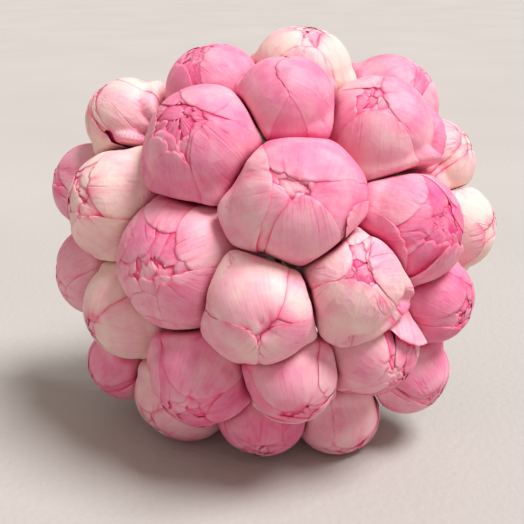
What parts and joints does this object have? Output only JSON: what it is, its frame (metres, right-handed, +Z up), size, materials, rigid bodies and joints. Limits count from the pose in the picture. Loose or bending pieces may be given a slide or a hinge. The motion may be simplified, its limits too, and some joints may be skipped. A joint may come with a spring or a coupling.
{
  "type": "bunch of peonies",
  "caption": "Round bunch of plump pink peony buds on cut green stems, bound with a tie of twine and laid down on a table.",
  "frame": {"origin": "on the table that the bunch lies on, under the middle of its box", "axes": "+Z up from the table, +Y along the stems from the head to the cut ends, +X to the right of someone who looks at the head"},
  "size_m": [0.3036, 0.4268, 0.2691],
  "materials": {
    "petals_rose": "soft satin petals in a strong pink, darker in the folds",
    "petals_pink": "soft satin petals in a mid pink",
    "petals_blush": "soft satin petals in a pale blush with crimson rims",
    "petals_cream": "soft satin petals in a pale cream pink with crimson rims",
    "green": "smooth waxy green of stems, calyces and leaves",
    "twine": "rough plain twine"
  },
  "bodies": {
    "root": {"tie": "twine", "bloom_01": "petals_rose", "stem_01": "green", "bloom_02": "petals_blush", "stem_02": "green", "bloom_03": "petals_rose", "stem_03": "green", "bloom_04": "petals_pink", "stem_04": "green", "bloom_05": "petals_cream", "stem_05": "green", "bloom_06": "petals_rose", "stem_06": "green", "bloom_07": "petals_pink", "stem_07": "green", "bloom_08": "petals_rose", "stem_08": "green", "bloom_09": "petals_cream", "stem_09": "green", "bloom_10": "petals_cream", "stem_10": "green", "bloom_11": "petals_pink", "stem_11": "green", "bloom_12": "petals_blush", "stem_12": "green", "bloom_13": "petals_pink", "stem_13": "green", "bloom_14": "petals_cream", "stem_14": "green", "bloom_15": "petals_rose", "stem_15": "green", "bloom_16": "petals_pink", "stem_16": "green", "bloom_17": "petals_pink", "stem_17": "green", "bloom_18": "petals_rose", "stem_18": "green", "bloom_19": "petals_rose", "stem_19": "green", "bloom_20": "petals_rose", "stem_20": "green", "bloom_21": "petals_pink", "stem_21": "green", "bloom_22": "petals_rose", "stem_22": "green", "bloom_23": "petals_cream", "stem_23": "green", "bloom_24": "petals_cream", "stem_24": "green", "bloom_25": "petals_rose", "stem_25": "green", "bloom_26": "petals_cream", "stem_26": "green", "bloom_27": "petals_rose", "stem_27": "green"}
  },
  "joints": []
}
